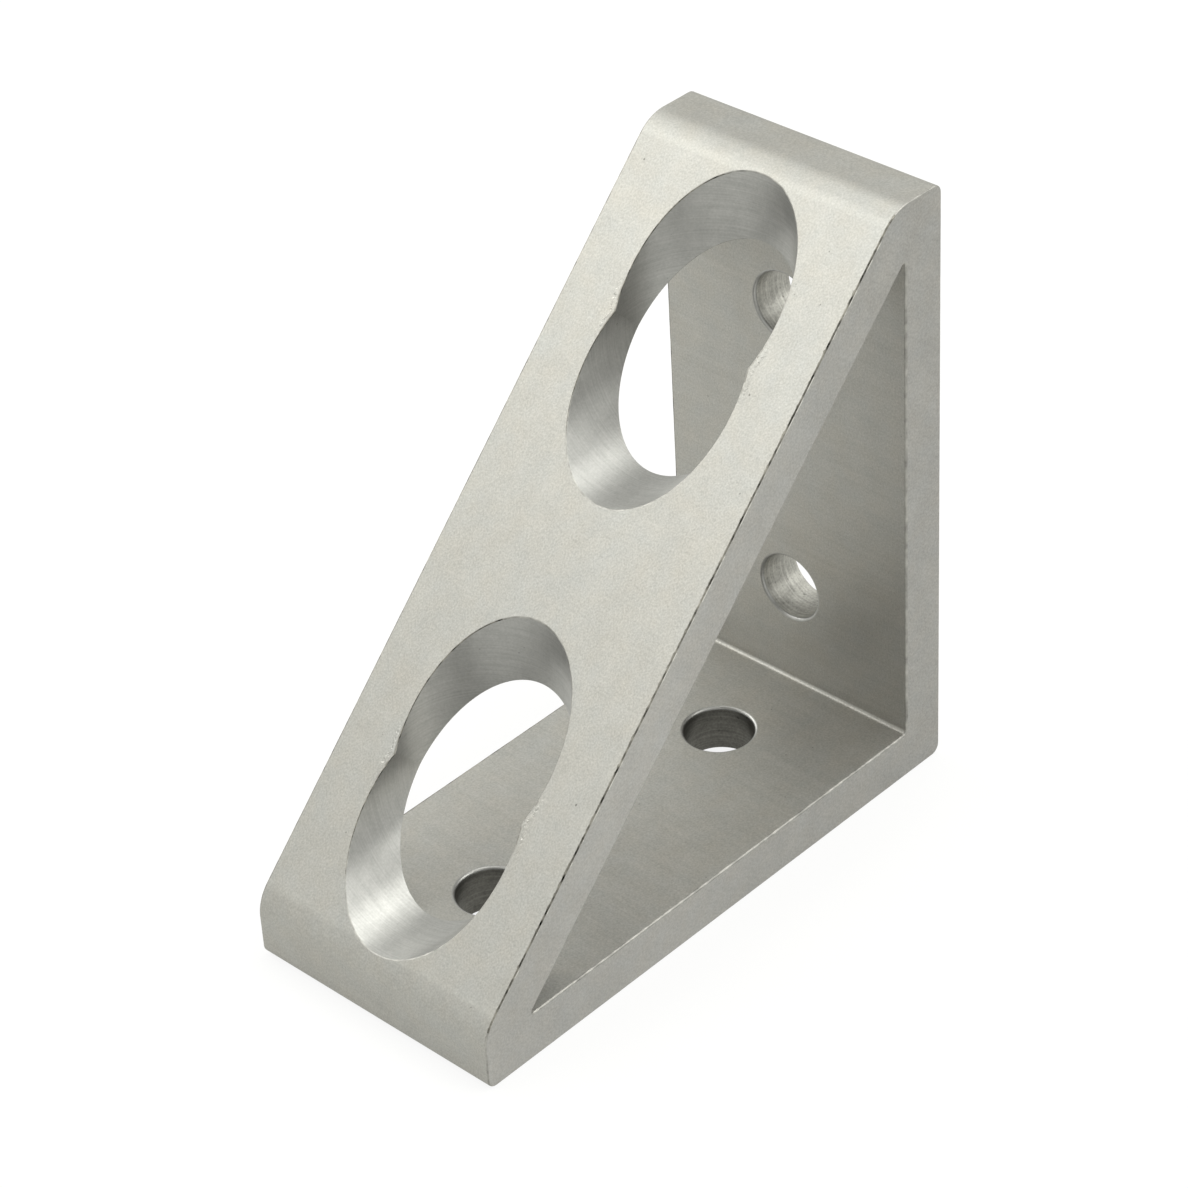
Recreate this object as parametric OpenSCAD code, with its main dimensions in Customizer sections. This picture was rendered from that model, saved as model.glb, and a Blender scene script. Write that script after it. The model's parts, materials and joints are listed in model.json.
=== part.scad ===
// Gusseted corner bracket for slotted aluminium framing: one sawn length of a hollow triangular
// section, with two screw holes in each leg and two tool openings through the sloping web.
// The base leg lies along +X and the upright leg stands along +Z. The origin is on the base leg's
// mating face, midway between its two screw holes.

/* [Legs] */
// Length of each leg, from the square corner to its tip
leg_length = 76.2; // [74:0.1:110]
// Thickness of each leg
leg_wall = 6; // [4:0.1:7]
// Width of the bracket, from one sawn end to the other
width = 34.9; // [28:0.1:60]

/* [Web] */
// Thickness of the sloping web
web_wall = 6; // [4:0.1:8]
// Height of the flat nose at each tip, up to where it would meet the slope
nose_height = 7.7; // [6.5:0.1:12]
// Radius between the nose and the slope
nose_round = 5.5; // [1:0.1:8]

/* [Corners of the section] */
// Radius of the square outer corner and of the two tips
outer_round = 1.2; // [0.6:0.1:2]
// Radius inside the square corner
inner_round = 0.5; // [0.3:0.1:3]
// Radius inside the two sharp corners, where the web meets a leg
tip_round = 0.3; // [0.2:0.1:1]
// Edge break round both sawn ends
end_break = 0.15; // [0.05:0.05:0.25]

/* [Screw holes] */
// Diameter of a screw hole, clear of a 5/16 inch or M8 screw
hole_d = 8.33; // [5:0.01:10]
// Distance from the square corner to the nearer hole
hole_from_corner = 19.05; // [17:0.05:21]
// Distance between the two holes of a leg
hole_pitch = 38.1; // [34:0.1:39]
// Chamfer at the inner mouth of a hole
hole_chamfer = 0.35; // [0.05:0.05:1.2]
// Edge break at the outer mouth of a hole
hole_break = 0.15; // [0.05:0.05:0.5]

/* [Tool openings] */
// Diameter of the bores that pass a screw and its driver through the web
access_d = 20.5; // [14:0.1:22]
// Clearance between the floor of an access bore and the leg below it
access_floor = 1; // [0.2:0.1:1.5]

/* [Hidden] */
$fn = 96;
// How far a cutter runs past the surface that it opens
overshoot = 1;
// Each arc is this much larger than its flats ask, so that it crosses them in one clean line
seam = 0.0005;
// How far the edge cuts of an outer flat and of its arcs run into each other
lap = 0.2;
lap_angle = 0.3;
slope_sum = leg_length + nose_height;
tunnel_sum = slope_sum - web_wall * sqrt(2);
pattern_centre = hole_from_corner + hole_pitch / 2;

// Corners of the section's outline, anticlockwise, as x, z and radius
outline = [
    [0, 0, outer_round],
    [leg_length, 0, outer_round],
    [leg_length, nose_height, nose_round],
    [nose_height, leg_length, nose_round],
    [0, leg_length, outer_round]
];

// Corners of the triangular tunnel, anticlockwise, as x, z and radius
tunnel = [
    [leg_wall, leg_wall, inner_round],
    [tunnel_sum - leg_wall, leg_wall, tip_round],
    [leg_wall, tunnel_sum - leg_wall, tip_round]
];

function at(list, i) = list[(i + len(list)) % len(list)];
function corner(list, i) = [at(list, i)[0], at(list, i)[1]];
function unit(v) = v / norm(v);
function turned_left(v) = [-v[1], v[0]];
function heading(v) = atan2(v[1], v[0]);

// Direction of the side that leaves corner i, and the angle that the outline turns through there
function side(list, i) = unit(corner(list, i + 1) - corner(list, i));
function turn(list, i) = acos(side(list, i - 1) * side(list, i));

// Where the arc of corner i leaves the flats, its centre and its radius
function reach(list, i) = at(list, i)[2] * tan(turn(list, i) / 2);
function arc_start(list, i) = corner(list, i) - reach(list, i) * side(list, i - 1);
function arc_end(list, i) = corner(list, i) + reach(list, i) * side(list, i);
function arc_centre(list, i) = arc_start(list, i) + at(list, i)[2] * turned_left(side(list, i - 1));
function arc_radius(list, i) = at(list, i)[2] + seam;

// What a corner loses to its round
module corner_waste(list, i) {
    before = overshoot * turned_left(side(list, i - 1));
    after = overshoot * turned_left(side(list, i));
    difference() {
        polygon([
            arc_centre(list, i),
            arc_start(list, i) - before,
            corner(list, i) - before - after,
            arc_end(list, i) - after
        ]);
        translate(arc_centre(list, i))
            circle(r = arc_radius(list, i));
    }
}

// A convex outline with a round of its own at each corner
module rounded(list) {
    difference() {
        polygon([for (i = [0 : len(list) - 1]) corner(list, i)]);
        for (i = [0 : len(list) - 1])
            corner_waste(list, i);
    }
}

// Carries an outline in X and Z along Y, centred on the origin
module along_y(length) {
    rotate([90, 0, 0])
        linear_extrude(length, center = true)
            children();
}

// Lays a cutter on both sawn ends: its X and Y lie in the end face and its Z goes into the metal
module at_both_ends() {
    for (flip = [0, 1])
        mirror([0, flip, 0])
            translate([0, width / 2, 0])
                rotate([90, 0, 0])
                    children();
}

// A bar along side i of a list, with a profile that is across the side and down from the end face
module side_bar(list, i, profile, extra) {
    from = arc_end(list, i) - extra * side(list, i);
    length = norm(arc_start(list, i + 1) - arc_end(list, i)) + 2 * extra;
    translate([from[0], from[1], 0])
        rotate([0, 0, heading(side(list, i))])
            rotate([90, 0, 90])
                linear_extrude(length)
                    polygon(profile);
}

// Takes the sharp edge off the outside of a sawn end
module outline_edge_cut() {
    profile = [
        [-end_break, -end_break],
        [2 * end_break, -end_break],
        [-end_break, 2 * end_break]
    ];
    for (i = [0 : len(outline) - 1]) {
        side_bar(outline, i, profile, lap);
        centre = arc_centre(outline, i);
        translate([centre[0], centre[1], 0])
            rotate([0, 0, heading(-turned_left(side(outline, i - 1))) - lap_angle])
                rotate_extrude(angle = turn(outline, i) + 2 * lap_angle)
                    polygon([for (p = profile) [arc_radius(outline, i) - p[0], p[1]]]);
    }
}

// Takes the sharp edge off the mouth of the tunnel
module tunnel_edge_cut() {
    profile = [
        [end_break, -end_break],
        [end_break, 2 * end_break],
        [0, end_break],
        [-2 * end_break, -end_break]
    ];
    for (i = [0 : len(tunnel) - 1]) {
        side_bar(tunnel, i, profile, 0);
        centre = arc_centre(tunnel, i);
        mouth = arc_radius(tunnel, i) + end_break;
        translate([centre[0], centre[1], -end_break])
            cylinder(h = mouth + end_break, r1 = mouth + end_break, r2 = 0);
    }
}

// Cuts of the base leg: each screw hole with its chamfers, and the bore above it through the web
module base_leg_cuts() {
    for (n = [0, 1])
        translate([hole_from_corner + n * hole_pitch, 0, 0]) {
            translate([0, 0, -overshoot])
                cylinder(h = leg_wall + 2 * overshoot, d = hole_d);
            translate([0, 0, leg_wall - hole_chamfer])
                cylinder(h = 2 * hole_chamfer, d1 = hole_d, d2 = hole_d + 4 * hole_chamfer);
            translate([0, 0, -hole_break])
                cylinder(h = 2 * hole_break, d1 = hole_d + 4 * hole_break, d2 = hole_d);
            translate([0, 0, leg_wall + access_floor])
                cylinder(h = slope_sum, d = access_d);
        }
}

// The upright leg has the same cuts with X and Z exchanged
module upright_leg_cuts() {
    mirror([1, 0, -1])
        base_leg_cuts();
}

module bracket() {
    color("#b9b8b0")
        translate([-pattern_centre, 0, 0])
            difference() {
                along_y(width)
                    rounded(outline);
                along_y(width + 2 * overshoot)
                    rounded(tunnel);
                at_both_ends() {
                    outline_edge_cut();
                    tunnel_edge_cut();
                }
                base_leg_cuts();
                upright_leg_cuts();
            }
}

bracket();
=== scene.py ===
import json
import math

import bpy
import numpy as np
from bpy.props import FloatProperty, FloatVectorProperty, PointerProperty
from bpy.types import NodeSocket, Operator, Panel, PropertyGroup
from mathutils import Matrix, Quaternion, Vector


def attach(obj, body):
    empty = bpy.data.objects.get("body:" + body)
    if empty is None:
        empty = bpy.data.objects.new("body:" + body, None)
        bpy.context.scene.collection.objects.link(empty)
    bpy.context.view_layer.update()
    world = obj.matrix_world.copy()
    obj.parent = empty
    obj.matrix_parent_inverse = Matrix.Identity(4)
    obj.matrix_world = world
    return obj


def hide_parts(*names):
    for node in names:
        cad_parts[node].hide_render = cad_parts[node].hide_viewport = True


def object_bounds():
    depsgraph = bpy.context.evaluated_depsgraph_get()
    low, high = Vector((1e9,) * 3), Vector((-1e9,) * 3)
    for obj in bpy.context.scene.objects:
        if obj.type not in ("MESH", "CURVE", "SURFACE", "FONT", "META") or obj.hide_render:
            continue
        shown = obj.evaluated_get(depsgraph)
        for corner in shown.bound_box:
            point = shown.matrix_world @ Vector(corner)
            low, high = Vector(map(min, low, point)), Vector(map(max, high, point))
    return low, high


bl_info = {
    "name": "Gusseted Corner Bracket",
    "version": (1, 0, 0),
    "blender": (4, 5, 0),
    "location": "View3D > Sidebar > Bracket",
    "description": "Dresses a sawn, drilled and bored aluminium corner bracket for slotted framing",
    "category": "Add Mesh",
}

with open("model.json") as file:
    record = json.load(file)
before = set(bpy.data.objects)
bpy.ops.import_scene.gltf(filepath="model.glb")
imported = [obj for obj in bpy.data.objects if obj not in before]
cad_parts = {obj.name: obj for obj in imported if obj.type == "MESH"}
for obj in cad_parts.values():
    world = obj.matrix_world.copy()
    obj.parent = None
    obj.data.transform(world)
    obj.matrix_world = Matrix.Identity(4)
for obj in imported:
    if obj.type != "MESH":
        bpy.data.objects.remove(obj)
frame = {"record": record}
CAD_LOW, CAD_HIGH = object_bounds()
MOUNTS = {mount["name"]: mount for mount in frame["record"]["mounts"]}
SCREWS = MOUNTS["base_screws"]["dims"]
# A millimetre in metres
MM = 0.001

# Name, azimuth from +X and elevation in degrees, and radiance of each light. The slope mirrors the key light.
LIGHTS = (
    ("key", 315, 52, 1.51),
    ("low_front", 330, 8, 0.27),
    ("left", 270, 30, 2.89),
    ("back_right", 120, 30, 2.4),
    ("top_right", 144, 72, 3.12),
    ("top_left", 216, 72, 1.68),
)
# The floor's reach to each side, and its gap under the bracket, which keeps the two from meeting
FLOOR_REACH = 3.0
FLOOR_GAP = 0.05 * MM
FLOOR_ROUGHNESS = 0.9
# Width of the camera's sensor in millimetres, and the distance in metres from which it sees
SENSOR_WIDTH = 36
CLIP_START = 0.01

# Order of the metal's finishes in the mesh. A rim is sorted by where it faces into deburred and into burred,
# which is dark with painted shade.
EXTRUDED, SAWN, BORED, DRILLED, DRILLED_IN_SHADE, DEBURRED, BURRED_AND_SHADED, RIM = range(8)
# Limits on the normal of a rim that is drawn burred and dark, a painted shade: its y is over the first, and
# its z - x is under the second
SHADED_RIM_SIDE, SHADED_RIM_LEAN = 0.3, 0.25

# Stretches of the half section, from the middle of the web to the middle of the square corner
WEB, TIP, FAR_LEG, NEAR_LEG, CORNER = range(5)
# Columns of a path's places and normals
X, Z = 0, 1
# Points of an arc between two flats
ARC_STEPS = 90
# Points that are closer than this are one
MERGE = 1e-4 * MM
# The gap to a tool opening, in metres, where no opening is near
FAR = 1.0

# Each wave in the depth of a sawn edge: its length in millimetres over 2 pi, and its phase
EDGE_WAVES = ((0.37, 0.4), (0.83, 1.7), (1.9, 2.9))
# Share of the depth in one wave
EDGE_WANDER = 0.06

# Factors on red, green and blue where the metal looks coolest and where it looks warmest
COOL, WARM = (0.99, 1.0, 1.008, 1), (1.012, 1.0, 0.98, 1)


def linear(hex_colour):
    """An sRGB hex colour as linear red, green and blue: a straight line near black, then a power of 2.4."""
    encoded = np.array([int(hex_colour[i:i + 2], 16) for i in (1, 3, 5)]) / 255
    return tuple(np.where(encoded <= 0.04045, encoded / 12.92, ((encoded + 0.055) / 1.055) ** 2.4))


class BracketSizes(PropertyGroup):
    """Sizes of the section, its bores and its edges. The frame gives the legs, the width and the holes."""

    leg_wall: FloatProperty(
        name="Leg thickness", description="Thickness of each leg", default=0.006, unit="LENGTH")
    web_wall: FloatProperty(
        name="Web thickness", description="Thickness of the sloping web", default=0.006, unit="LENGTH")
    nose_height: FloatProperty(
        name="Nose height", description="Height of the flat nose, up to where it would meet the slope",
        default=0.0077, unit="LENGTH")
    nose_round: FloatProperty(
        name="Nose radius", description="Radius between the nose and the slope",
        default=0.0055, unit="LENGTH")
    outer_round: FloatProperty(
        name="Corner radius", description="Radius of the square outer corner and of the tips",
        default=0.0012, unit="LENGTH")
    inner_round: FloatProperty(
        name="Inner radius", description="Radius inside the square corner", default=0.0005, unit="LENGTH")
    tip_round: FloatProperty(
        name="Sharp inner radius", description="Radius inside, where the web meets a leg",
        default=0.0003, unit="LENGTH")
    end_break: FloatProperty(
        name="Sawn edge", description="Edge break round the outside of both sawn ends",
        default=0.00015, unit="LENGTH")
    mouth_break: FloatProperty(
        name="Tunnel edge", description="Edge break round both mouths of the tunnel",
        default=0.00024, unit="LENGTH")
    access_radius: FloatProperty(
        name="Tool bore radius", description="Radius of the bores through the web",
        default=0.01025, unit="LENGTH")
    rim_break: FloatProperty(
        name="Bore rim", description="Edge break round the tool openings",
        default=0.00008, unit="LENGTH")
    hole_chamfer: FloatProperty(
        name="Hole mouth", description="Width of the rounded inner mouth of a screw hole",
        default=0.00035, unit="LENGTH")
    hole_break: FloatProperty(
        name="Hole edge", description="Edge break at the outer mouth of a screw hole",
        default=0.00015, unit="LENGTH")


class BracketColours(PropertyGroup):
    """Colours of the metal's finishes and of the floor."""

    extruded: FloatVectorProperty(
        name="Etched metal", description="Extruded faces with their clear matt finish",
        subtype="COLOR", default=linear("#b4b3b0"), min=0, max=1)
    sawn: FloatVectorProperty(
        name="Sawn metal", description="Both sawn ends",
        subtype="COLOR", default=linear("#b2b1b0"), min=0, max=1)
    bored: FloatVectorProperty(
        name="Bored metal", description="Walls of the tool openings",
        subtype="COLOR", default=linear("#b2b2b1"), min=0, max=1)
    drilled: FloatVectorProperty(
        name="Drilled metal", description="Walls of the upright leg's screw holes",
        subtype="COLOR", default=linear("#afaeaa"), min=0, max=1)
    # Painted shade: the base leg's screw holes are drawn darker, as their walls mirror the dark below
    drilled_in_shade: FloatVectorProperty(
        name="Drilled metal in painted shade", description="Walls of the base leg's screw holes",
        subtype="COLOR", default=linear("#72716d"), min=0, max=1)
    edge: FloatVectorProperty(
        name="Deburred edge", description="Rims and deburred edges",
        subtype="COLOR", default=linear("#a9a8a5"), min=0, max=1)
    # Real burr and painted shade: the dark colour of burred edges, of the painted shadow along the slope's
    # near sawn edge, and of the burr at the openings' waists
    burr_and_shade: FloatVectorProperty(
        name="Burred edge", description="Edges that keep their burr, with dirt in it",
        subtype="COLOR", default=linear("#7f7d77"), min=0, max=1)
    # Painted highlight: light dashes where the rubbed burr under the slope catches light
    lip_highlight: FloatVectorProperty(
        name="Rubbed lip", description="Shiny dashes of the sawn end just below the slope",
        subtype="COLOR", default=linear("#e1e0dc"), min=0, max=1)
    pit: FloatVectorProperty(
        name="Pits", description="Dirt in the small pits of extruded, bored and drilled faces",
        subtype="COLOR", default=linear("#30302b"), min=0, max=1)
    floor: FloatVectorProperty(
        name="Floor", description="Pale floor",
        subtype="COLOR", default=linear("#f4f4f2"), min=0, max=1)


class StudioSettings(PropertyGroup):
    """Camera, lights and the white that surrounds the bracket."""

    camera_place: FloatVectorProperty(
        name="Camera", description="Where the camera stands", subtype="XYZ", unit="LENGTH",
        default=(0.2421, 0.2394, 0.2766))
    camera_aim: FloatVectorProperty(
        name="Aim", description="Point in the middle of the picture", subtype="XYZ", unit="LENGTH",
        default=(0.0009, 0.0006, 0.0366))
    camera_roll: FloatProperty(
        name="Roll", description="Turn of the camera about its own axis", subtype="ANGLE",
        default=math.radians(-3.38))
    lens: FloatProperty(
        name="Focal length", description="Focal length on a sensor 36 mm wide",
        default=115.8, min=1, unit="CAMERA")
    light_level: FloatProperty(
        name="Light level", description="Brightness of all lights together", default=1.0, min=0)
    light_colour: FloatVectorProperty(
        name="Light colour", description="Colour of the lights and of the studio as the metal mirrors it",
        subtype="COLOR", default=linear("#fefef7"), min=0, max=1)
    light_size: FloatProperty(
        name="Light size", description="Side of each square light", default=0.4, unit="LENGTH")
    light_distance: FloatProperty(
        name="Light distance", description="Distance of each light from the bracket",
        default=0.7, unit="LENGTH")
    background: FloatVectorProperty(
        name="Background", description="Colour that the camera sees behind the bracket",
        subtype="COLOR", default=linear("#ffffff"), min=0, max=1)
    surroundings: FloatProperty(
        name="Surroundings", description="Brightness of the studio as the metal mirrors it",
        subtype="FACTOR", default=0.755, min=0, max=1)
    floor_level: FloatProperty(
        name="Floor level", description="Brightness of the floor's plain white as the metal mirrors it",
        subtype="FACTOR", default=0.72, min=0, max=1)
    floor_glow: FloatProperty(
        name="Floor in the metal", description="Share of plain white in the floor as the metal mirrors it",
        subtype="FACTOR", default=0.7, min=0, max=1)
    floor_white: FloatProperty(
        name="Floor in view", description="Share of plain white in the floor as the camera sees it",
        subtype="FACTOR", default=0.87, min=0, max=1)


def node(tree, kind, inputs=None, output=None, **settings):
    """Adds a node with its settings. An input, by name or number, takes a value or the socket that feeds it.

    Returns the output of this name, or else the first one that the settings leave in use.
    """
    made = tree.nodes.new(kind)
    for name, value in settings.items():
        setattr(made, name, value)
    for key, value in (inputs or {}).items():
        socket = next(each for i, each in enumerate(made.inputs) if key in (i, each.name) and each.enabled)
        if isinstance(value, NodeSocket):
            tree.links.new(value, socket)
        else:
            socket.default_value = value
    return made.outputs[output] if output else next(each for each in made.outputs if each.enabled)


# Section and surfaces

def spread(knots, counts):
    """Values from the first knot to the last, with this many even steps from each knot to the next."""
    runs = [np.linspace(*pair, steps, endpoint=False) for *pair, steps in zip(knots, knots[1:], counts)]
    return np.concatenate(runs + [knots[-1:]])


def rounded_path(points, radii, metal_inside):
    """A line through points whose inner corners are rounded, run with the section's middle on its left.

    Each corner's arc touches its two flats at radius * tan(turn / 2) from the corner. The path is given
    by its length s, its place and its normal out of the metal, so any point on it is an interpolation in s.
    """
    points = np.asarray(points, float)
    sides = np.diff(points, axis=0)
    sides /= np.linalg.norm(sides, axis=1)[:, None]
    outward = np.stack([sides[:, 1], -sides[:, 0]], -1)
    places = [points[:1]]
    normals = [outward[:1]]
    for i, radius in enumerate(radii):
        turn = np.arccos(sides[i] @ sides[i + 1])
        centre = points[i + 1] - radius * np.tan(turn / 2) * sides[i] - radius * outward[i]
        angle = np.arctan2(outward[i, 1], outward[i, 0]) + np.linspace(0, turn, ARC_STEPS)
        spokes = np.stack([np.cos(angle), np.sin(angle)], -1)
        places.append(centre + radius * spokes)
        normals.append(spokes)
    places = np.concatenate(places + [points[-1:]])
    normals = np.concatenate(normals + [outward[-1:]])
    if not metal_inside:
        normals = -normals
    s = np.concatenate([[0], np.cumsum(np.linalg.norm(np.diff(places, axis=0), axis=1))])
    first = 1 + ARC_STEPS * np.arange(len(radii))
    arcs = np.stack([s[first], s[first + ARC_STEPS - 1]], -1)
    return {"s": s, "place": places, "normal": normals, "arcs": arcs}


def on_path(path, s, y, offset=0.0):
    """The point at length s along a path and y across the width, moved outwards by offset, and its normal."""
    s, y, offset = np.broadcast_arrays(s, y, offset)
    x, z, across, up = (
        np.interp(s, path["s"], path[key][:, axis]) for key in ("place", "normal") for axis in (X, Z))
    return (np.stack([x + offset * across, y, z + offset * up], -1),
            np.stack([across, np.zeros_like(across), up], -1))


def length_at(path, part, axis, value):
    """Length s at which a path, between the two lengths of part, passes a value of its X or Z column."""
    inside = (path["s"] >= part[0]) & (path["s"] <= part[1])
    values = path["place"][inside, axis]
    order = np.argsort(values)
    return np.interp(value, values[order], path["s"][inside][order])


def frame_loop(s, y):
    """The edge of a rectangle in s and y as a closed loop of its samples, from its low corner along s."""
    low, high = np.full(len(s) - 1, y[0]), np.full(len(s) - 1, y[-1])
    start, stop = np.full(len(y) - 1, s[0]), np.full(len(y) - 1, s[-1])
    return np.stack([np.concatenate([s[:-1], stop, s[:0:-1], start]),
                     np.concatenate([low, y[:-1], high, y[:0:-1]])], -1)


def normals_of(points, closed):
    """Normal of a grid, as the cross product of its two directions by central differences."""
    if closed:
        points = np.concatenate([points[:, -2:-1], points, points[:, 1:2]], 1)
    normals = np.cross(np.gradient(points, axis=0), np.gradient(points, axis=1))
    normals /= np.linalg.norm(normals, axis=-1, keepdims=True)
    return normals[:, 1:-1] if closed else normals


class Skin:
    """Grids of points that together cover one solid. A grid's rows and columns give its faces."""

    def __init__(self):
        self.parts = []

    def add(self, points, finish, uv, normals=None, inward=False, closed=False):
        """Adds a grid. Its faces look along rows cross columns, or against it if inward is set.

        A third column of uv is the gap to the nearest tool opening, and is far if it is left out.
        """
        if uv.shape[-1] == 2:
            uv = np.concatenate([uv, np.full_like(uv[..., :1], FAR)], -1)
        if closed:
            points, uv = (np.concatenate([a, a[:, :1]], 1) for a in (points, uv))
            normals = None if normals is None else np.concatenate([normals, normals[:, :1]], 1)
        if normals is None:
            normals = normals_of(points, closed) * (-1 if inward else 1)
        rows, columns = points.shape[:2]
        index = np.arange(rows * columns).reshape(rows, columns)
        faces = np.stack([index[:-1, :-1], index[1:, :-1], index[1:, 1:], index[:-1, 1:]], -1).reshape(-1, 4)
        if inward:
            faces = faces[:, ::-1]
        self.parts.append((points.reshape(-1, 3), normals.reshape(-1, 3), uv.reshape(-1, 3), faces, finish))

    def arrays(self):
        """Points, normals, UVs, faces and finishes of all grids, each grid with points of its own."""
        start = np.cumsum([0] + [len(part[0]) for part in self.parts])[:-1]
        points, normals, uv = (np.concatenate([part[i] for part in self.parts]) for i in range(3))
        faces = np.concatenate([part[3] + first for part, first in zip(self.parts, start)])
        finish = np.concatenate([np.full(len(part[3]), part[4]) for part in self.parts])
        return points, normals, uv, faces, finish


class Section:
    """The bracket in its corner frame: x from the upright's mating face, z from the base's, y across.

    The planes y = 0 and x = z are its planes of symmetry, so the surfaces of the half with the upright
    leg are worked out, and the other half is the same with x and z exchanged.
    """

    # Grid cells along half the web, the last few on the nose radius, across the width, along half a leg
    web_cells = (52, 4)
    width_cells = 36
    leg_cells = 36
    # Cells along the rest of the nose radius, the nose and the tip's radius, and half the square corner
    tip_cells = (9, 5, 8)
    corner_cells = 6
    # Rings of cells round a tool opening, round a screw hole, and from outline to tunnel on a sawn end
    opening_rings = 14
    hole_rings = 8
    end_rings = 6
    # Cells through the web, round its broken rims and round a sawn edge
    wall_cells = 12
    rim_cells = 3
    edge_cells = 4
    # Cells along a screw hole's edge break, its bore and its rounded mouth
    hole_cells = (2, 10, 6)
    # Share of the nose radius in the web's grid, because the opening runs into it
    nose_share = 0.28

    def __init__(self, sizes):
        """Works out both lines of the section. The web's faces lie where x + z is outer_sum and inner_sum."""
        self.sizes = sizes
        self.leg = CAD_HIGH.x - CAD_LOW.x
        self.half = (CAD_HIGH.y - CAD_LOW.y) / 2
        self.hole_radius = SCREWS["hole_r_mm"] * MM
        self.near = -CAD_LOW.x - SCREWS["spacing_x_mm"] * MM / 2
        self.outer_sum = self.leg + sizes.nose_height
        self.inner_sum = self.outer_sum - sizes.web_wall * math.sqrt(2)
        wall = sizes.leg_wall
        tip = self.inner_sum - wall
        self.outline = rounded_path(
            [(self.outer_sum / 2, self.outer_sum / 2), (sizes.nose_height, self.leg), (0, self.leg), (0, 0),
             (self.leg / 2, 0)],
            [sizes.nose_round, sizes.outer_round, sizes.outer_round], True)
        self.tunnel = rounded_path(
            [(self.inner_sum / 2, self.inner_sum / 2), (wall, tip), (wall, wall), (tip, wall)],
            [sizes.tip_round, sizes.inner_round], False)

    def lobe(self, level, radius, share):
        """One bore's part of the upper opening, at a share of the way from the web's inner to its outer face.

        The plane there is x + z = depth. The upright bore stands at x = near and the level bore lies at
        z = leg - near. Both have this radius, so they meet where x - near = z - (leg - near), which is at
        the angle whose cosine is -(depth - leg) / (2 * radius), counted from the lobe's far end.
        """
        depth = self.inner_sum + share * (self.outer_sum - self.inner_sum)
        quarter = (sum(self.web_cells) + self.width_cells) // 2
        turn = np.arccos((self.leg - depth) / (2 * radius)) * np.linspace(-1, 1, 2 * quarter + 1)
        if level:
            z = self.leg - self.near - radius * np.cos(turn)
            return np.stack([depth - z, -radius * np.sin(turn), z], -1)
        x = self.near - radius * np.cos(turn[::-1])
        inner = self.inner_sum - x
        s = length_at(self.outline, (0, self.outline["arcs"][0, 1]), X, x)
        outer = on_path(self.outline, s, 0)[0][:, 2]
        return np.stack([x, -radius * np.sin(turn[::-1]), inner + share * (outer - inner)], -1)

    def opening(self, radius, share):
        """The whole upper opening as a closed loop that starts towards the low corner of the web's flat."""
        loop = np.concatenate([self.lobe(level, radius, share)[:-1] for level in (True, False)])
        return np.roll(loop, -(sum(self.web_cells) + 2 * self.width_cells) // 2, axis=0)

    def plate(self, skin, path, s, y, hole, rings, opening=False):
        """A flat with a hole: rings from the hole's loop to the flat's edge, straight across in s and y."""
        share = np.linspace(0, 1, rings + 1)[:, None, None]
        flat = hole * (1 - share) + frame_loop(s, y) * share
        points, normals = on_path(path, flat[..., 0], flat[..., 1])
        gap = np.linalg.norm(flat - hole, axis=-1, keepdims=True) + (0 if opening else FAR)
        uv = np.concatenate([flat[..., ::-1], gap], -1)
        skin.add(points, EXTRUDED, uv, normals, inward=path is self.outline, closed=True)

    def web(self, skin, s_outer, s_inner, y_outer, y_inner):
        """The web's two faces, the walls of its opening and their broken rims.

        A rim bends from the wall to the face by a quarter turn, the cosine giving its radius and the sine
        its depth. The outer one is rim_break wide and deep, and the inner one half as much.
        """
        radius, wall = self.sizes.access_radius, self.sizes.web_wall
        outer_rim, inner_rim = self.sizes.rim_break, self.sizes.rim_break / 2
        for path, s, y, share, rim in ((self.outline, s_outer, y_outer, 1.0, outer_rim),
                                       (self.tunnel, s_inner, y_inner, 0.0, inner_rim)):
            loop = self.opening(radius + rim, share)
            part = (0, path["arcs"][0, 1])
            hole = np.stack([length_at(path, part, X, loop[:, 0]), loop[:, 1]], -1)
            self.plate(skin, path, s, y, hole, self.opening_rings, opening=path is self.outline)
        low, high = inner_rim / wall, 1 - outer_rim / wall
        bend = np.linspace(0, math.pi / 2, self.rim_cells + 1)
        bore = [(radius, share) for share in np.linspace(low, high, self.wall_cells + 1)]
        outer = [(radius + outer_rim * (1 - math.cos(f)), 1 - (1 - high) * (1 - math.sin(f))) for f in bend]
        inner = [(radius + inner_rim * (1 - math.cos(f)), low * (1 - math.sin(f))) for f in bend[::-1]]
        for level in (True, False):
            for finish, rows in ((BORED, bore), (RIM, outer), (RIM, inner)):
                points = np.stack([self.lobe(level, *row) for row in rows])
                axis = points[..., 0] if level else points[..., 2]
                around = radius * np.arcsin(np.clip(points[..., 1] / radius, -1, 1))
                skin.add(points, finish, np.stack([around, axis], -1), inward=True)

    def screw_hole(self, skin, z, angle):
        """A screw hole through the upright leg at height z: a turned profile of radius against x.

        The outer mouth has a straight edge break. The inner one is a quarter round, by the sine and cosine.
        """
        radius, back, chamfer = self.hole_radius, self.sizes.hole_break, self.sizes.hole_chamfer
        front = self.sizes.leg_wall - chamfer
        ends = ((0, back), (back, front), (0, math.pi / 2))
        edge, bore, bend = (np.linspace(*end, cells + 1) for end, cells in zip(ends, self.hole_cells))
        profiles = (
            (DEBURRED, edge, radius + back - edge),
            (DRILLED, bore, np.full_like(bore, radius)),
            (BORED, front + chamfer * np.sin(bend), radius + chamfer * (1 - np.cos(bend))),
        )
        for finish, x, r in profiles:
            x, r, turn = np.broadcast_arrays(x[:, None], r[:, None], angle)
            points = np.stack([x, r * np.sin(turn), z - r * np.cos(turn)], -1)
            skin.add(points, finish, np.stack([radius * turn, x], -1), closed=True)

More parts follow.
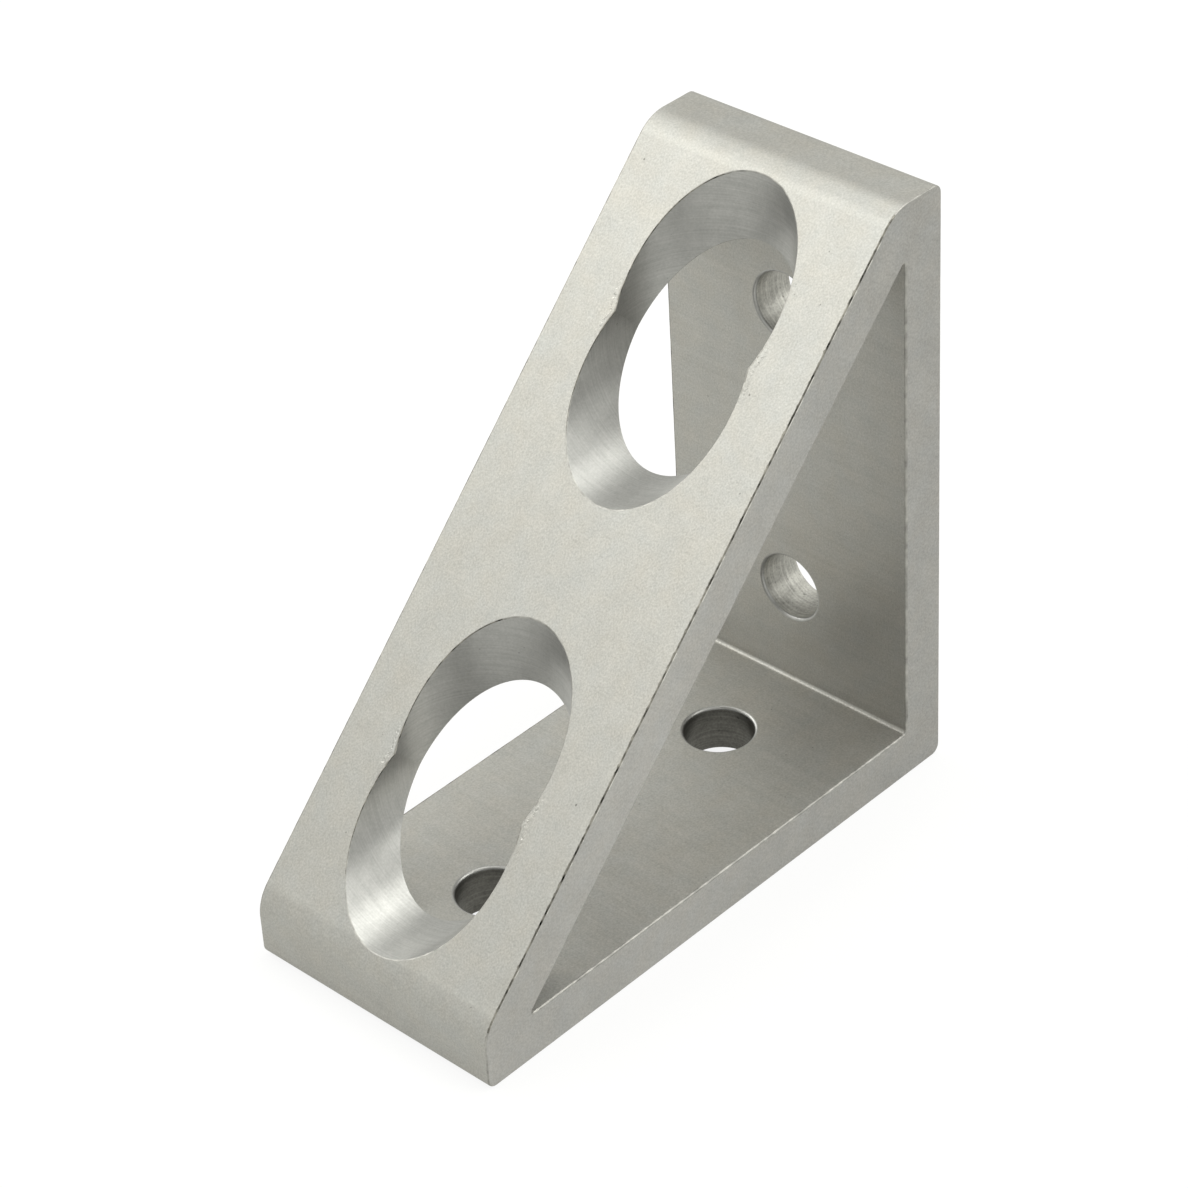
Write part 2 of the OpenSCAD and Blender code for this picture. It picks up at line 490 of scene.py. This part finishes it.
    def legs(self, skin, outer, inner, y_outer, y_inner, flats):
        """The upright leg's two faces and its screw holes.

        The circle round a hole has as many points as the edge of its flat, evenly spaced in angle, and
        starts towards the flat's low corner as that edge does.
        """
        sizes = self.sizes
        count = 2 * (self.leg_cells + self.width_cells)
        angle = math.pi * (-0.5 - self.leg_cells / count + 2 * np.arange(count) / count)
        for stretch, z in ((FAR_LEG, self.leg - self.near), (NEAR_LEG, self.near)):
            for path, s, y, flat, wider in (
                    (self.outline, outer[stretch], y_outer, flats[0], sizes.hole_break),
                    (self.tunnel, inner[stretch], y_inner, flats[1], sizes.hole_chamfer)):
                r = self.hole_radius + wider
                hole = np.stack([length_at(path, flat, Z, z) + r * np.cos(angle), r * np.sin(angle)], -1)
                self.plate(skin, path, s, y, hole, self.hole_rings)
            self.screw_hole(skin, z, angle)

    def skin(self):
        """All surfaces of the upright's half, from knots in s where the stretches of the section meet."""
        skin, sizes = Skin(), self.sizes
        across = np.linspace(-1, 1, self.width_cells + 1)
        y_outer, y_inner = (across * (self.half - edge) for edge in (sizes.end_break, sizes.mouth_break))
        nose, tip, corner = self.outline["arcs"]
        sharp, square = self.tunnel["arcs"]
        web_end = nose[0] + self.nose_share * (nose[1] - nose[0])
        flats = ((tip[1], corner[0]), (sharp[1], square[0]))
        outer_middle, inner_middle = (
            length_at(path, flat, Z, self.leg / 2) for path, flat in zip((self.outline, self.tunnel), flats))
        outer = [spread([0, nose[0], web_end], self.web_cells),
                 spread([web_end, nose[1], tip[0], tip[1]], self.tip_cells),
                 spread([tip[1], outer_middle], [self.leg_cells]),
                 spread([outer_middle, corner[0]], [self.leg_cells]),
                 spread([corner[0], corner.mean()], [self.corner_cells])]
        inner = [spread([0, sharp[0]], [sum(self.web_cells)]),
                 spread([sharp[0], sharp[1]], [sum(self.tip_cells)]),
                 spread([sharp[1], inner_middle], [self.leg_cells]),
                 spread([inner_middle, square[0]], [self.leg_cells]),
                 spread([square[0], square.mean()], [self.corner_cells])]
        self.web(skin, outer[WEB], inner[WEB], y_outer, y_inner)
        for path, parts, y in ((self.outline, outer, y_outer), (self.tunnel, inner, y_inner)):
            for stretch in (TIP, CORNER):
                s = parts[stretch][:, None]
                points, normals = on_path(path, s, y[None, :])
                uv = np.stack(np.broadcast_arrays(y[None, :], s), -1)
                skin.add(points, EXTRUDED, uv, normals, inward=path is self.outline)
        self.legs(skin, outer, inner, y_outer, y_inner, flats)
        whole = [np.concatenate([s[:-1] for s in parts] + [parts[-1][-1:]]) for parts in (outer, inner)]
        self.sawn_ends(skin, *whole)
        return skin

    def edge_depth(self, s, edge):
        """Depth at length s of an edge break that is this deep on the whole: a sum of three sines of s."""
        waves = sum(np.sin(s / (length * MM) + phase) for length, phase in EDGE_WAVES)
        return edge * (1 + EDGE_WANDER * waves)

    def sawn_ends(self, skin, s_outer, s_inner):
        """Both sawn ends, each ruled between the outline and the tunnel, and their rounded edges.

        An edge is a quarter round, by the sine and cosine, whose depth wanders as a hand leaves it.
        The slope's two edges and the tunnel's far mouth keep their burr, drawn dark as painted shade.
        """
        sizes = self.sizes
        turn = np.linspace(0, math.pi / 2, self.edge_cells + 1)[:, None]
        share = np.linspace(0, 1, self.end_rings + 1)[:, None, None]
        # The slope's burred edge, dark with painted shade, reaches to the middle of the nose radius
        web = np.searchsorted(s_outer, self.outline["arcs"][0].mean())
        for side in (1, -1):
            mouth_finish = DEBURRED if side > 0 else BURRED_AND_SHADED
            for path, s, edge, inward, finish in (
                    (self.outline, s_outer[:web], sizes.end_break, side < 0, BURRED_AND_SHADED),
                    (self.outline, s_outer[web - 1:], sizes.end_break, side < 0, DEBURRED),
                    (self.tunnel, s_inner, sizes.mouth_break, side > 0, mouth_finish)):
                points, out = on_path(path, s[None, :], side * (self.half - edge + edge * np.sin(turn)),
                                      self.edge_depth(s, edge) * (np.cos(turn) - 1))
                normals = out * np.cos(turn)[..., None] + np.array([0, side, 0]) * np.sin(turn)[..., None]
                uv = np.stack(np.broadcast_arrays(s[None, :], edge * turn), -1)
                skin.add(points, finish, uv, normals, inward=inward)
            outer, inner = (
                on_path(path, s, side * self.half, -self.edge_depth(s, edge))[0]
                for path, s, edge in ((self.outline, s_outer, sizes.end_break),
                                      (self.tunnel, s_inner, sizes.mouth_break)))
            points = outer * (1 - share) + inner * share
            normals = np.broadcast_to([0.0, side, 0.0], points.shape)
            skin.add(points, SAWN, points[..., [0, 2]], normals, inward=side < 0)


def mesh_object(name, points, normals, uv, faces, finish, materials):
    """A mesh object from arrays, with shared points merged and each face corner's own normal kept."""
    key = np.round(points / MERGE).astype(np.int64)
    _, first, merged = np.unique(key, axis=0, return_index=True, return_inverse=True)
    mesh = bpy.data.meshes.new(name)
    mesh.from_pydata(points[first], [], merged.reshape(-1)[faces].tolist())
    for material in materials:
        mesh.materials.append(material)
    mesh.polygons.foreach_set("material_index", finish.astype(np.int32))
    mesh.polygons.foreach_set("use_smooth", np.ones(len(faces), bool))
    layer = mesh.uv_layers.new(name="surface")
    layer.data.foreach_set("uv", uv[faces][..., :2].astype(np.float32).ravel())
    gap = mesh.attributes.new("rim_gap", "FLOAT", "CORNER")
    gap.data.foreach_set("value", uv[faces][..., 2].astype(np.float32).ravel())
    mesh.normals_split_custom_set(normals[faces].reshape(-1, 3).tolist())
    mesh.update()
    made = bpy.data.objects.new(name, mesh)
    bpy.context.scene.collection.objects.link(made)
    return made


# Materials. Their lengths are in millimetres, and a number beside a pattern in a blend is its weight.

def metal(name, colour, roughness):
    """A bare metal material: the material, its tree, its shader and its object coordinates."""
    material = bpy.data.materials.new(name)
    material.use_nodes = True
    tree = material.node_tree
    shader = tree.nodes["Principled BSDF"]
    shader.inputs["Metallic"].default_value = 1.0
    shader.inputs["Base Color"].default_value = (*colour, 1)
    shader.inputs["Roughness"].default_value = roughness
    return material, tree, shader, node(tree, "ShaderNodeTexCoord", output="Object")


def grain(tree, place, size, detail=2.0):
    """Noise of place over a size, or over three sizes along its coordinates, so its features are as large."""
    scale = [1 / (each * MM) for each in np.broadcast_to(size, 3)]
    scaled = node(tree, "ShaderNodeMapping", {"Vector": place, "Scale": scale})
    return node(tree, "ShaderNodeTexNoise", {"Vector": scaled, "Scale": 1.0, "Detail": detail})


def blend(tree, patterns):
    """Weighted sum of patterns about their middle value of one half, itself about one half."""
    total = 0.5 - sum(weight for _, weight in patterns) / 2
    for pattern, weight in patterns:
        total = node(tree, "ShaderNodeMath", {0: pattern, 1: weight, 2: total}, operation="MULTIPLY_ADD")
    return total


def tint(tree, colour, pattern, share):
    """A colour that is darker by this share of itself where a pattern is 0, and lighter where it is 1."""
    dark, light = ((*(min(c * part, 1.0) for c in colour), 1) for part in (1 - share, 1 + share))
    return node(tree, "ShaderNodeMix", {"Factor": pattern, "A": dark, "B": light},
                data_type="RGBA", clamp_factor=False)


def hue_drift(tree, place, colour):
    """Makes a colour warmer and cooler from place to place: two slow noises pick the factor on it."""
    drift = blend(tree, [(grain(tree, place, size=9), 1.6), (grain(tree, place, size=2.5), 2.0)])
    hue = node(tree, "ShaderNodeMix", {"Factor": drift, "A": COOL, "B": WARM},
               data_type="RGBA", clamp_factor=False)
    return node(tree, "ShaderNodeMix", {"Factor": 1.0, "A": colour, "B": hue},
                data_type="RGBA", blend_type="MULTIPLY")


def layered(tree, colour, films):
    """Lays films over a colour in turn, each by a mask that is 1 where the film hides all below it."""
    for film, mask in films:
        colour = node(tree, "ShaderNodeMix", {"Factor": mask, "A": colour, "B": (*film, 1)},
                      data_type="RGBA")
    return colour


def relief(tree, shader, pattern, depth):
    """Gives the surface a pattern's relief, this many millimetres from where it is 0 to where it is 1."""
    bump = node(tree, "ShaderNodeBump", {"Height": pattern, "Strength": 1.0, "Distance": depth * MM})
    tree.links.new(bump, shader.inputs["Normal"])


def below_slope(tree, place, slope_sum):
    """How far a point lies below the slope, as what its x + z lacks of the slope's own sum."""
    point_sum = node(tree, "ShaderNodeVectorMath", {0: place, 1: (1, 0, 1)}, operation="DOT_PRODUCT")
    return node(tree, "ShaderNodeMath", {0: slope_sum, 1: point_sum}, operation="SUBTRACT")


def painted_burr_shadow(tree, place, below, reach, down):
    """Mask of painted shadow of the burr beside the slope's near sawn edge, over a band about as wide as
    reach.

    A noise of swing times reach is added to y, and the band is where the sum passes the limit. The noise
    is one half on the whole, so the band is then as wide as reach. It fades out over down below the slope.
    """
    swing, fade = 3.5, 0.3
    across = node(tree, "ShaderNodeSeparateXYZ", {0: place}, output="Y")
    ragged = node(tree, "ShaderNodeMath",
                  {0: grain(tree, place, size=0.7, detail=3.0), 1: swing * reach * MM, 2: across},
                  operation="MULTIPLY_ADD")
    limit = CAD_HIGH.y + (swing / 2 - 1) * reach * MM
    near = node(tree, "ShaderNodeMapRange",
                {"Value": ragged, "From Min": limit, "From Max": limit + fade * reach * MM})
    slope = node(tree, "ShaderNodeMapRange",
                 {"Value": below, "From Min": down * MM, "From Max": 0.0})
    return node(tree, "ShaderNodeMath", {0: near, 1: slope}, operation="MULTIPLY")


def waist_burr(tree, place, low, high, size):
    """Mask of the burr beside a tool opening's rim near its waist, in dashes of this size.

    It is a product of three: a band between two gaps from the rim, strongest in its middle, the nearness
    to a waist, and dashes of noise. The waists lie where z - x is 0 or a leg's length, so two folds about
    half a leg's length turn z - x to the distance from the nearer one.
    """
    waist_near, waist_far = 2.5, 6
    dash_none, dash_full = 0.41, 0.54
    gap = node(tree, "ShaderNodeAttribute", output="Fac", attribute_name="rim_gap")
    off = node(tree, "ShaderNodeMath", {0: gap, 1: (low + high) / 2 * MM}, operation="SUBTRACT")
    off = node(tree, "ShaderNodeMath", {0: off}, operation="ABSOLUTE")
    band = node(tree, "ShaderNodeMapRange",
                {"Value": off, "From Min": (high - low) / 2 * MM, "From Max": 0.0})
    away = node(tree, "ShaderNodeVectorMath", {0: place, 1: (-1, 0, 1)}, operation="DOT_PRODUCT")
    for _ in range(2):
        away = node(tree, "ShaderNodeMath", {0: away, 1: (CAD_HIGH.z - CAD_LOW.z) / 2}, operation="SUBTRACT")
        away = node(tree, "ShaderNodeMath", {0: away}, operation="ABSOLUTE")
    near = node(tree, "ShaderNodeMapRange",
                {"Value": away, "From Min": waist_far * MM, "From Max": waist_near * MM})
    dashes = node(tree, "ShaderNodeMapRange",
                  {"Value": grain(tree, place, size), "From Min": dash_none, "From Max": dash_full})
    both = node(tree, "ShaderNodeMath", {0: band, 1: near}, operation="MULTIPLY")
    return node(tree, "ShaderNodeMath", {0: both, 1: dashes}, operation="MULTIPLY")


def pits(tree, place, size, least):
    """Mask of small pits, where a noise of this size is over least, near its highest."""
    fade, strength = 0.05, 0.5
    noise = grain(tree, place, size, detail=0.0)
    return node(tree, "ShaderNodeMapRange",
                {"Value": noise, "From Min": least, "From Max": least + fade, "To Max": strength})


def painted_lip_highlight(tree, place, below):
    """Mask of painted highlight in dashes on a sawn end just below the slope, where the rubbed burr catches
    light.
    """
    full, none = 0.36, 0.5
    dash_none, dash_full = 0.5, 0.6
    band = node(tree, "ShaderNodeMapRange",
                {"Value": below, "From Min": none * MM, "From Max": full * MM})
    dashes = node(tree, "ShaderNodeMapRange",
                  {"Value": grain(tree, place, size=1.3), "From Min": dash_none, "From Max": dash_full})
    return node(tree, "ShaderNodeMath", {0: band, 1: dashes}, operation="MULTIPLY")


def etched_extrusion(colours, slope_sum):
    """Aluminium, extruded and etched, with a clear matt finish.

    To the eye it is an even pale grey that spreads light softly, with a fine grain and small dark pits.
    The real grain is a few hundredths of a millimetre wide, and is drawn coarser, two pixels wide.
    """
    material, tree, shader, place = metal("etched_extruded_aluminium", colours.extruded, roughness=0.42)
    below = below_slope(tree, place, slope_sum)
    fine = grain(tree, place, 0.22, detail=3.0)
    patches = grain(tree, place, 3)
    # The die's lines run across the width, fainter on the slope than on the other faces
    lines = grain(tree, place, (0.45, 16, 0.45))
    slope_end, inside_start, lines_left = 3, 5, 0.2
    inside = node(tree, "ShaderNodeMapRange",
                  {"Value": below, "From Min": slope_end * MM, "From Max": inside_start * MM,
                   "To Min": lines_left})
    die_lines = node(tree, "ShaderNodeMix", {"Factor": inside, "A": 0.5, "B": lines})
    pattern = blend(tree, [(fine, 1.55), (patches, 0.35), (die_lines, 0.4)])
    shade = hue_drift(tree, place, tint(tree, colours.extruded, pattern, share=0.2))
    shade = layered(tree, shade, [
        (colours.pit, pits(tree, place, size=0.5, least=0.88)),
        # Painted shadow of the burr along the slope's near sawn edge
        (colours.burr_and_shade, painted_burr_shadow(tree, place, below, reach=0.16, down=2.5)),
        (colours.burr_and_shade, waist_burr(tree, place, low=-0.2, high=0.22, size=0.6)),
    ])
    tree.links.new(shade, shader.inputs["Base Color"])
    # A curl of burr stands up just outside the dirty one
    curl = waist_burr(tree, place, low=0.2, high=0.9, size=0.5)
    relief(tree, shader, blend(tree, [(fine, 0.95), (die_lines, 0.2), (curl, 3.4)]), depth=0.012)
    return material


def sawn(colours, slope_sum):
    """Aluminium, sawn and lightly brushed.

    To the eye it is a matt grain, drawn coarser as on the extruded faces, with faint straight lines of the
    saw's teeth and a shiny broken line under the slope, painted as a highlight.
    """
    material, tree, shader, place = metal("sawn_aluminium", colours.sawn, roughness=0.42)
    fine = grain(tree, place, 0.25, detail=3.0)
    patches = grain(tree, place, 4)
    # The blade went through at this angle in radians, about the width
    slant = 0.6
    turned = node(tree, "ShaderNodeMapping", {"Vector": place, "Rotation": (0, slant, 0)})
    teeth = grain(tree, turned, (20, 20, 0.4), detail=1.0)
    # Painted shade: the cut is drawn slowly lighter from the upright leg towards the base leg's tip
    dark_x, light_x = -35, 12
    along = node(tree, "ShaderNodeSeparateXYZ", {0: place}, output="X")
    slow = node(tree, "ShaderNodeMapRange",
                {"Value": along, "From Min": dark_x * MM, "From Max": light_x * MM})
    pattern = blend(tree, [(fine, 1.5), (patches, 0.5), (teeth, 0.25), (slow, 0.5)])
    shade = hue_drift(tree, place, tint(tree, colours.sawn, pattern, share=0.2))
    lip_highlight = painted_lip_highlight(tree, place, below_slope(tree, place, slope_sum))
    tree.links.new(layered(tree, shade, [(colours.lip_highlight, lip_highlight)]), shader.inputs["Base Color"])
    relief(tree, shader, blend(tree, [(fine, 0.8), (teeth, 0.2)]), depth=0.012)
    return material


def machined(name, colour, pit, roughness, anisotropy, ring, depth, share, least):
    """Aluminium, bored or drilled: grooves round the bore, which draw a highlight out along its axis.

    The rings are feed marks. A real one is about 0.1 mm wide, and is drawn two or three times as wide, so
    that it shows. The surface's UV runs round the bore and along its axis.
    """
    material, tree, shader, place = metal(name, colour, roughness)
    surface = node(tree, "ShaderNodeUVMap", uv_map="surface")
    rings = grain(tree, surface, (9, ring, 1))
    fine = grain(tree, place, 0.25, detail=3.0)
    patches = grain(tree, place, 1.5)
    tangent = node(tree, "ShaderNodeTangent", direction_type="UV_MAP", uv_map="surface")
    tree.links.new(tangent, shader.inputs["Tangent"])
    shader.inputs["Anisotropic"].default_value = anisotropy
    # A quarter turn sets the wide axis of the highlight across the grooves
    shader.inputs["Anisotropic Rotation"].default_value = 0.25
    shade = tint(tree, colour, blend(tree, [(rings, 0.9), (fine, 0.8), (patches, 0.5)]), share)
    shade = layered(tree, shade, [(pit, pits(tree, place, size=0.45, least=least))])
    tree.links.new(shade, shader.inputs["Base Color"])
    relief(tree, shader, blend(tree, [(rings, 0.5), (fine, 0.5)]), depth)
    return material


def broken_edge(name, colour, roughness, share):
    """Aluminium, an edge worked by hand: a narrow band that catches light unevenly along its length."""
    material, tree, shader, place = metal(name, colour, roughness)
    wear = grain(tree, place, 1.1, detail=3.0)
    tree.links.new(tint(tree, colour, blend(tree, [(wear, 3.0)]), share), shader.inputs["Base Color"])
    return material


# Operators

class BRACKET_OT_metal(Operator):
    """Build the bracket's metal over its solid"""

    bl_idname = "bracket.metal"
    bl_label = "Bracket Metal"

    def execute(self, context):
        colours, sizes = context.scene.bracket_colours, context.scene.bracket_sizes
        section = Section(sizes)
        if not sizes.nose_height < 2 * sizes.access_radius < 2 * section.half:
            raise ValueError("The tool bores have to meet in the web and be narrower than the bracket")
        points, normals, uv, faces, finish = section.skin().arrays()
        # The other half has x and z exchanged, which turns its faces round
        points, normals = (np.concatenate([a, a[:, [2, 1, 0]]]) for a in (points, normals))
        faces = np.concatenate([faces, faces[:, ::-1] + len(uv)])
        # The base leg's holes are drawn darker with painted shade, a shaded copy of the drilled finish
        finish = np.concatenate([finish, np.where(finish == DRILLED, DRILLED_IN_SHADE, finish)])
        uv = np.concatenate([uv, uv])
        # A tool bore's rim is drawn burred and dark, a painted shade, on the side of low y, except where it
        # looks up the slope
        face_x, face_y, face_z = normals[faces[:, 0]].T
        shaded_rim = (face_y > SHADED_RIM_SIDE) & (face_z - face_x < SHADED_RIM_LEAN)
        finish = np.where(finish == RIM, np.where(shaded_rim, BURRED_AND_SHADED, DEBURRED), finish)
        corner = np.array([CAD_LOW.x, (CAD_LOW.y + CAD_HIGH.y) / 2, CAD_LOW.z])
        slope_sum = CAD_HIGH.x + sizes.nose_height
        materials = [
            etched_extrusion(colours, slope_sum),
            sawn(colours, slope_sum),
            machined("bored_aluminium", colours.bored, colours.pit, roughness=0.41, anisotropy=0.2,
                     ring=0.2, depth=0.007, share=0.21, least=0.88),
            machined("drilled_aluminium", colours.drilled, colours.pit, roughness=0.46, anisotropy=0.15,
                     ring=0.3, depth=0.01, share=0.5, least=0.78),
            # A shaded copy of the drilled finish: painted shade for the base leg's holes
            machined("drilled_aluminium_painted_shade", colours.drilled_in_shade, colours.pit, roughness=0.38, anisotropy=0.2,
                     ring=0.3, depth=0.012, share=0.5, least=0.78),
            broken_edge("deburred_aluminium", colours.edge, roughness=0.5, share=0.25),
            # Burred edges: real burr, drawn dark as painted shade
            broken_edge("burred_aluminium_painted_shade", colours.burr_and_shade, roughness=0.45, share=0.8),
        ]
        piece = mesh_object("bracket_metal", points + corner, normals, uv, faces, finish, materials)
        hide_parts("bracket")
        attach(piece, "root")
        return {"FINISHED"}


class BRACKET_OT_camera(Operator):
    """Place the camera"""

    bl_idname = "bracket.camera"
    bl_label = "Camera"

    def execute(self, context):
        studio = context.scene.bracket_studio
        place, aim = Vector(studio.camera_place), Vector(studio.camera_aim)
        if place == aim:
            raise ValueError("The camera stands on the point that it aims at")
        camera = bpy.data.objects.new("camera", bpy.data.cameras.new("camera"))
        look = (aim - place).to_track_quat("-Z", "Y")
        camera.location = place
        camera.rotation_mode = "QUATERNION"
        camera.rotation_quaternion = look @ Quaternion((0, 0, 1), studio.camera_roll)
        camera.data.sensor_width = SENSOR_WIDTH
        camera.data.lens = studio.lens
        camera.data.clip_start = CLIP_START
        context.scene.collection.objects.link(camera)
        context.scene.camera = camera
        return {"FINISHED"}


class BRACKET_OT_studio(Operator):
    """Lay the floor and set the lights"""

    bl_idname = "bracket.studio"
    bl_label = "Studio"

    def execute(self, context):
        scene, studio = context.scene, context.scene.bracket_studio
        scene.view_settings.view_transform = "Standard"
        self.world(scene, studio)
        self.floor(scene, studio)
        self.lights(scene, studio)
        return {"FINISHED"}

    def white(self, tree, studio, level):
        """Colour and strength of a plain white: the background to the camera, and this level to the metal."""
        seen = node(tree, "ShaderNodeLightPath", output="Is Camera Ray")
        colour = node(tree, "ShaderNodeMix",
                      {"Factor": seen, "A": (*studio.light_colour, 1), "B": (*studio.background, 1)},
                      data_type="RGBA")
        strength = node(tree, "ShaderNodeMapRange", {"Value": seen, "To Min": level, "To Max": 1.0})
        return colour, strength

    def world(self, scene, studio):
        """A white background that the metal mirrors less brightly, as the walls of a studio."""
        world = bpy.data.worlds.new("studio")
        world.use_nodes = True
        scene.world = world
        tree = world.node_tree
        colour, strength = self.white(tree, studio, studio.surroundings)
        tree.links.new(colour, tree.nodes["Background"].inputs["Color"])
        tree.links.new(strength, tree.nodes["Background"].inputs["Strength"])

    def floor(self, scene, studio):
        """A pale matt floor that is mostly plain white to the camera and the metal, and keeps a soft shadow.

        Its share of plain white is floor_white for a camera ray, floor_glow for a glossy or transmitted one
        and none for any other.
        """
        corners = np.array([(-1, -1), (1, -1), (1, 1), (-1, 1)]) * FLOOR_REACH
        mesh = bpy.data.meshes.new("floor")
        mesh.from_pydata([(x, y, CAD_LOW.z - FLOOR_GAP) for x, y in corners], [], [(0, 1, 2, 3)])
        floor = bpy.data.objects.new("floor", mesh)
        scene.collection.objects.link(floor)
        material = bpy.data.materials.new("pale_floor")
        material.use_nodes = True
        mesh.materials.append(material)
        tree = material.node_tree
        shader = tree.nodes["Principled BSDF"]
        shader.inputs["Base Color"].default_value = (*scene.bracket_colours.floor, 1)
        shader.inputs["Roughness"].default_value = FLOOR_ROUGHNESS
        seen, glossy, through = (
            node(tree, "ShaderNodeLightPath", output=name)
            for name in ("Is Camera Ray", "Is Glossy Ray", "Is Transmission Ray"))
        mirrored = node(tree, "ShaderNodeMath", {0: glossy, 1: through}, operation="MAXIMUM")
        mirrored = node(tree, "ShaderNodeMath", {0: mirrored, 1: studio.floor_glow}, operation="MULTIPLY")
        share = node(tree, "ShaderNodeMath", {0: seen, 1: studio.floor_white, 2: mirrored},
                     operation="MULTIPLY_ADD")
        colour, strength = self.white(tree, studio, studio.floor_level)
        glow = node(tree, "ShaderNodeEmission", {"Color": colour, "Strength": strength})
        mix = node(tree, "ShaderNodeMixShader", {0: share, 1: shader.outputs[0], 2: glow})
        tree.links.new(mix, tree.nodes["Material Output"].inputs["Surface"])

    def lights(self, scene, studio):
        """Square lights on a sphere round the bracket's middle, each turned to it."""
        middle = (CAD_LOW + CAD_HIGH) / 2
        for name, azimuth, elevation, radiance in LIGHTS:
            light = bpy.data.lights.new(name, "AREA")
            light.size = studio.light_size
            light.color = studio.light_colour
            # A square light's power over pi and over its area is its radiance
            light.energy = studio.light_level * radiance * math.pi * studio.light_size ** 2
            way = Vector((math.cos(math.radians(elevation)), 0, math.sin(math.radians(elevation))))
            way.rotate(Quaternion((0, 0, 1), math.radians(azimuth)))
            lamp = bpy.data.objects.new(name, light)
            lamp.location = middle + way * studio.light_distance
            lamp.rotation_mode = "QUATERNION"
            lamp.rotation_quaternion = way.to_track_quat("Z", "Y")
            lamp.visible_camera = False
            scene.collection.objects.link(lamp)


class BRACKET_PT_panel(Panel):
    """Sizes, colours and steps of the bracket"""

    bl_label = "Corner Bracket"
    bl_idname = "BRACKET_PT_panel"
    bl_space_type = "VIEW_3D"
    bl_region_type = "UI"
    bl_category = "Bracket"

    def draw(self, context):
        scene = context.scene
        for group in (scene.bracket_sizes, scene.bracket_colours, scene.bracket_studio):
            box = self.layout.box()
            for name in group.__annotations__:
                box.prop(group, name)
        for step in STEPS:
            self.layout.operator(step.bl_idname)


STEPS = (BRACKET_OT_camera, BRACKET_OT_metal, BRACKET_OT_studio)
CLASSES = (BracketSizes, BracketColours, StudioSettings, *STEPS, BRACKET_PT_panel)


def register():
    """Registers the classes and gives the scene its groups of properties."""
    for made in CLASSES:
        bpy.utils.register_class(made)
    bpy.types.Scene.bracket_sizes = PointerProperty(type=BracketSizes)
    bpy.types.Scene.bracket_colours = PointerProperty(type=BracketColours)
    bpy.types.Scene.bracket_studio = PointerProperty(type=StudioSettings)


def unregister():
    """Takes the properties and the classes away again."""
    del bpy.types.Scene.bracket_studio
    del bpy.types.Scene.bracket_colours
    del bpy.types.Scene.bracket_sizes
    for made in reversed(CLASSES):
        bpy.utils.unregister_class(made)


def main():
    """Runs every step in order."""
    register()
    bpy.ops.bracket.camera()
    bpy.ops.bracket.metal()
    bpy.ops.bracket.studio()


if __name__ == "__main__":
    main()
